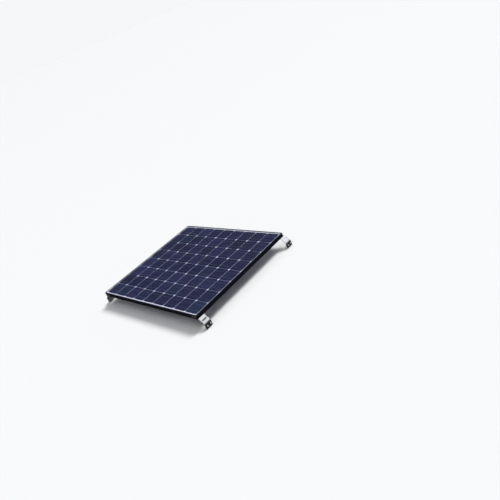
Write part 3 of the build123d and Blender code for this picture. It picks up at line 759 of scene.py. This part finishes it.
def build_frame_bolts():
    """One upright bolt through each bracket's flange and the frame, with two washers and a nut."""
    under_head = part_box("frame_bolt_washers")[0].z
    nut_low, nut_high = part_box("frame_bolt_nuts")
    under_nut = nut_low.z
    frame_x = nut_high.x - M8_ACROSS / 2 / math.cos(math.pi / 6) * MM
    frame_y = nut_high.y - M8_ACROSS / 2 * MM
    up, down, along_x = (0, 0, 1), (0, 0, -1), (1, 0, 0)
    bolts, nuts, washers = bmesh.new(), bmesh.new(), bmesh.new()
    for x in (-frame_x, frame_x):
        for y in (-frame_y, frame_y):
            bolt_parts(bolts, axis_place((x, y, under_head), down, along_x), thread_from=-10.0)
            nut_parts(nuts, axis_place((x, y, under_nut), up, along_x))
            for z in (under_head, under_nut - M8_WASHER * MM):
                washer_parts(washers, axis_place((x, y, z), up, along_x))
    add_piece("frame_bolts_finished", bolts, STEEL, ("frame_bolts",))
    add_piece("frame_bolt_nuts_finished", nuts, STEEL, ("frame_bolt_nuts",))
    add_piece("frame_bolt_washers_finished", washers, STEEL, ("frame_bolt_washers",))


def build_side_bolts():
    """Two level bolts through each bracket's leg, with a washer and a T-nut each."""
    above_end = 20 * MM
    half_spacing = 16 * MM
    under_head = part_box("side_bolt_washers")[1].x
    nut_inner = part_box("rail_t_nuts")[1].x - T_NUT_THICK * MM
    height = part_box("clamp_plate_front_right")[0].z + above_end
    bolts, washers, t_nuts = bmesh.new(), bmesh.new(), bmesh.new()
    for end in ("front", "rear"):
        low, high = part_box(f"bracket_{end}_right")
        middle = (low.y + high.y) / 2
        for y in (middle - half_spacing, middle + half_spacing):
            for side in (-1, 1):
                outward, across = (side, 0, 0), (0, side, 0)
                head_place = axis_place((side * under_head, y, height), outward, across)
                bolt_parts(bolts, head_place, thread_from=-8.6)
                washer_x = side * (under_head - M8_WASHER * MM)
                washer_parts(washers, axis_place((washer_x, y, height), outward, across))
                t_nut_parts(t_nuts, axis_place((side * nut_inner, y, height), outward, across))
    add_piece("side_bolts_finished", bolts, STEEL, ("side_bolts",))
    add_piece("side_bolt_washers_finished", washers, STEEL, ("side_bolt_washers",))
    add_piece("rail_t_nuts_finished", t_nuts, STEEL, ("rail_t_nuts",))


def build_corner_screws():
    """Two screws into each end of the front and rear rails, each stopped at a chance angle."""
    below_lip = 18 * MM
    insets = (17.5 * MM, 47.5 * MM)
    low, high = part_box("frame_rail_front")
    height = high.z - below_lip
    mesh = screw_mesh()
    turn = random.Random(4)
    bm = bmesh.new()
    for end in (-1, 1):
        for side in (-1, 1):
            for inset in insets:
                origin = (side * (high.x - inset), -end * low.y, height)
                spin = Matrix.Rotation(turn.uniform(0, math.pi / 2), 4, "Z")
                screw_parts(bm, axis_place(origin, (0, end, 0), (0, 0, 1)) @ spin, mesh)
    add_piece("corner_screws_finished", bm, STEEL, ("corner_screws",))


# ---------- cable glands, in millimetres ----------
GLAND_ACROSS = 16.0
GLAND_BORE_RADIUS = 3.3
GLAND_BARREL = 14.0  # from the box's wall to the barrel's mouth


def gland_body_rings():
    """A stub in the box's wall, a hexagon, and a threaded barrel with a seat for the seal."""
    inner_end, flange, seat = -5.7, 4.0, 7.0
    stub = ((3.5, inner_end), (5.6, inner_end), (5.9, inner_end + 0.3), (5.9, 0.0))
    mouth = ((6.0, GLAND_BARREL), (5.0, GLAND_BARREL), (4.8, GLAND_BARREL - 0.2))
    bore = ((4.8, seat), (GLAND_BORE_RADIUS, seat), (GLAND_BORE_RADIUS, inner_end + 0.2))
    rings = turned(stub) + hex_rings(GLAND_ACROSS, 0.0, flange) + [turn_ring(6.1, flange)]
    rings += thread_rings(6.4, 0.45, 1.5, flange + 0.2, GLAND_BARREL - 0.3)
    return rings + turned(mouth + bore)


def gland_cap_rings():
    """A hexagonal cap that domes down to the hole for the cable."""
    start, shoulder, end = 5.0, 12.0, 18.0
    widest, mouth, over_barrel = 9.3, 4.6, 6.5
    steps = 8
    rings = [turn_ring(6.7, start), turn_ring(hexagon(GLAND_ACROSS, 8.3), start)]
    rings += [turn_ring(hexagon(GLAND_ACROSS), start + 0.6)]
    for index in range(steps + 1):
        turn = index / steps * math.pi / 2
        dome = mouth + (widest - mouth) * math.cos(turn) ** 0.7
        z = shoulder + (end - shoulder) * math.sin(turn)
        rings.append(turn_ring(hexagon(GLAND_ACROSS, dome), z))
    mouth_edge = ((3.9, end), (3.4, end - 0.3))
    hole = ((GLAND_BORE_RADIUS, end - 0.8), (GLAND_BORE_RADIUS, GLAND_BARREL + 0.2))
    inside = ((over_barrel, GLAND_BARREL), (over_barrel, start + 0.3))
    return rings + turned(mouth_edge + hole + inside)


def gland_seal_rings():
    """A rubber sleeve with a slightly waved bore."""
    start, end = 7.0, GLAND_BARREL
    outside = ((4.5, start), (4.8, start + 0.4), (4.8, end - 0.5), (4.4, end))
    inside = ((3.0, 13.5), (3.15, 11.4), (3.0, 10.5), (3.15, 9.6), (3.0, 7.5))
    return turned(((GLAND_BORE_RADIUS, start), *outside, (GLAND_BORE_RADIUS, end), *inside))


def build_glands():
    """Both cable glands, each turned about its own axis, outward from the box's wall."""
    seals = bmesh.new()
    for polarity in ("negative", "positive"):
        low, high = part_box(f"gland_body_{polarity}")
        wall_x = high.x - GLAND_BARREL * MM
        origin = (wall_x, (low.y + high.y) / 2, (low.z + high.z) / 2)
        place = axis_place(origin, (1, 0, 0), (0, 1, 0))
        for kind, rings in (("body", gland_body_rings()), ("cap", gland_cap_rings())):
            node = f"gland_{kind}_{polarity}"
            bm = bmesh.new()
            add_loft(bm, rings, place, tube=True)
            add_piece(f"{node}_finished", bm, GLAND_PLASTIC, (node,))
        add_loft(seals, gland_seal_rings(), place, tube=True)
    add_piece("gland_seals_finished", seals, RUBBER, ("gland_seals",))


# ---------- junction box ----------
def rounded_outline(half_x, half_y, corner):
    """Points round a rounded rectangle, about 3 mm apart, with their outward directions."""
    per_corner = 8
    spacing = 3.0
    points = []
    for cx, cy, start in ((1, 1, 0), (-1, 1, 90), (-1, -1, 180), (1, -1, 270)):
        for step in range(per_corner + 1):
            angle = math.radians(start + 90 * step / per_corner)
            out = Vector((math.cos(angle), math.sin(angle), 0))
            middle = Vector((cx * (half_x - corner), cy * (half_y - corner), 0))
            points.append((middle + out * corner, out))
    filled = []
    for (first, out_a), (second, out_b) in zip(points, points[1:] + points[:1]):
        pieces = max(1, round((second - first).length / spacing))
        for piece in range(pieces):
            share = piece / pieces
            filled.append((first.lerp(second, share), out_a.lerp(out_b, share)))
    return filled


def build_adhesive():
    """Silicone squeezed out round the junction box, uneven as a hand-laid bead is."""
    low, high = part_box("junction_box_adhesive")
    to_wall = 2.0
    inner_edge = -9.5
    centre = Vector(((low.x + high.x) / 2 / MM, 0, 0))
    half_x = (high.x - low.x) / 2 / MM + to_wall
    half_y = (high.y - low.y) / 2 / MM + to_wall
    top, bottom = high.z / MM, low.z / MM
    wobble = random.Random(11)
    waves = []
    for _ in range(5):
        waves.append((wobble.uniform(2, 9), wobble.uniform(0, math.tau), wobble.uniform(0.1, 0.28)))
    outline = rounded_outline(half_x, half_y, 6.0)
    rings = []
    for index, (point, out) in enumerate(outline):
        turn = math.tau * index / len(outline)
        swell = 1.0 + sum(size * math.sin(round(rate) * turn + phase) for rate, phase, size in waves)
        section = (
            (inner_edge, bottom),
            (inner_edge, top),
            (1.1 + swell, top),
            (1.0 + swell, top - 0.35),
            (0.5 + 0.8 * swell, bottom - 0.1),
            (0.25 + 0.3 * swell, bottom - 0.9),
            (0.0, bottom - 1.3),
            (0.0, bottom),
        )
        rings.append([tuple(centre + point + out * off + Vector((0, 0, z))) for off, z in section])
    bm = bmesh.new()
    add_loft(bm, rings, tube=True)
    add_piece("junction_box_silicone_bead", bm, SILICONE, ("junction_box_adhesive",))


def build_diode_solder():
    """A drop of solder at each end of each diode, on the terminal plates."""
    diode_spacing = 24 * MM
    to_joint = 8.6 * MM
    joint = (3.6, 5.0, 1.75)
    sunk = 0.05 * MM
    low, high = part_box("bypass_diodes")
    x = (low.x + high.x) / 2
    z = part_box("terminal_plates")[0].z + sunk
    bm = bmesh.new()
    for middle in (-diode_spacing, 0, diode_spacing):
        for y in (middle - to_joint, middle + to_joint):
            add_dome(bm, (x, y, z), joint, up=-1.0)
    add_piece("diode_solder_joints", bm, SOLDER)


build_bus_solder()
build_backsheet_relief()
build_frame_bolts()
build_side_bolts()
build_corner_screws()
build_glands()
build_adhesive()
build_diode_solder()

# how far sharp edges are eased, in millimetres
BRACKET_EDGE = 0.35
CLAMP_EDGE = 0.5
BOX_EDGE = 0.3
RAIL_EDGE = 0.15
for corner in ("front_left", "front_right", "rear_left", "rear_right"):
    rounded_copy(f"bracket_{corner}", BRACKET_EDGE)
    rounded_copy(f"clamp_plate_{corner}", CLAMP_EDGE)
rounded_copy("junction_box_base", BOX_EDGE)
rounded_copy("junction_box_lid", BOX_EDGE, LID)
for side in ("front", "rear", "left", "right"):
    rounded_copy(f"frame_rail_{side}", RAIL_EDGE)


# ---------- stage, light and camera ----------
def build_stage():
    """A pale floor that the glass and metal don't mirror."""
    reach = 60.0
    corners = [(-reach, -reach, 0), (reach, -reach, 0), (reach, reach, 0), (-reach, reach, 0)]
    floor = bpy.data.meshes.new("studio_floor")
    floor.from_pydata(corners, [], [(0, 1, 2, 3)])
    finish = Finish("pale_floor", (0.78, 0.78, 0.78), 0.9, 0.0, specular_ior_level=0.1)
    floor.materials.append(finish.material)
    made = bpy.data.objects.new("studio_floor", floor)
    bpy.context.scene.collection.objects.link(made)
    made.visible_glossy = False


def build_light():
    """A softbox overhead and a glow at the horizon, both painted on the world, and one soft sun.

    The camera itself sees a plain pale backdrop instead.
    """
    scene = bpy.context.scene
    scene.world = bpy.data.worlds.new("studio")
    scene.world.use_nodes = True
    tree = scene.world.node_tree
    background = tree.nodes["Background"]
    output = tree.nodes["World Output"]
    place = tree.nodes.new("ShaderNodeTexCoord")
    split = tree.nodes.new("ShaderNodeSeparateXYZ")
    tree.links.new(place.outputs["Generated"], split.inputs[0])

    def ramp(start, end, low, high):
        """A soft step between two heights of the sky, from the horizon at 0 to overhead at 1."""
        made = tree.nodes.new("ShaderNodeMapRange")
        made.interpolation_type = "SMOOTHSTEP"
        for socket, value in (("From Min", start), ("From Max", end), ("To Min", low), ("To Max", high)):
            made.inputs[socket].default_value = value
        tree.links.new(split.outputs[2], made.inputs["Value"])
        return made.outputs["Result"]

    def combine(operation, first, second):
        """The sum or product of two outputs."""
        made = tree.nodes.new("ShaderNodeMath")
        made.operation = operation
        tree.links.new(first, made.inputs[0])
        tree.links.new(second, made.inputs[1])
        return made.outputs[0]

    softbox = ramp(0.56, 0.82, 0.05, 1.0)
    horizon = combine("MULTIPLY", ramp(-0.1, 0.0, 0, 0.45), ramp(0.12, 0.32, 1, 0))
    background.inputs["Color"].default_value = (0.95, 0.98, 1.0, 1)
    tree.links.new(combine("ADD", softbox, horizon), background.inputs["Strength"])
    backdrop = tree.nodes.new("ShaderNodeBackground")
    backdrop.inputs["Color"].default_value = (0.92, 0.928, 0.936, 1)
    rays = tree.nodes.new("ShaderNodeLightPath")
    mix = tree.nodes.new("ShaderNodeMixShader")
    tree.links.new(rays.outputs["Is Camera Ray"], mix.inputs[0])
    tree.links.new(background.outputs[0], mix.inputs[1])
    tree.links.new(backdrop.outputs[0], mix.inputs[2])
    tree.links.new(mix.outputs[0], output.inputs["Surface"])

    sun = bpy.data.lights.new("soft_sun", "SUN")
    sun.energy = 2.7
    sun.angle = math.radians(22)
    made = bpy.data.objects.new("soft_sun", sun)
    scene.collection.objects.link(made)
    made.rotation_mode = "QUATERNION"
    made.rotation_quaternion = Vector((-0.1, -0.62, -0.78)).to_track_quat("-Z", "Y")


def build_camera():
    """From the front right and above, rolled, with the panel left of the picture's middle."""
    heading, tilt, roll = math.radians(50.487), math.radians(27.2), math.radians(22.638)
    camera = bpy.data.cameras.new("camera")
    camera.lens = 37.52
    camera.sensor_width = 36.0
    camera.shift_x = -0.001
    camera.shift_y = 0.0006
    made = bpy.data.objects.new("camera", camera)
    bpy.context.scene.collection.objects.link(made)
    made.matrix_world = (
        Matrix.Translation((3.3013, -2.0826, 2.0106))
        @ Matrix.Rotation(heading, 4, "Z")
        @ Matrix.Rotation(math.pi / 2 - tilt, 4, "X")
        @ Matrix.Rotation(-roll, 4, "Z")
    )
    bpy.context.scene.camera = made


build_stage()
build_light()
build_camera()
bpy.context.scene.view_settings.view_transform = "Standard"
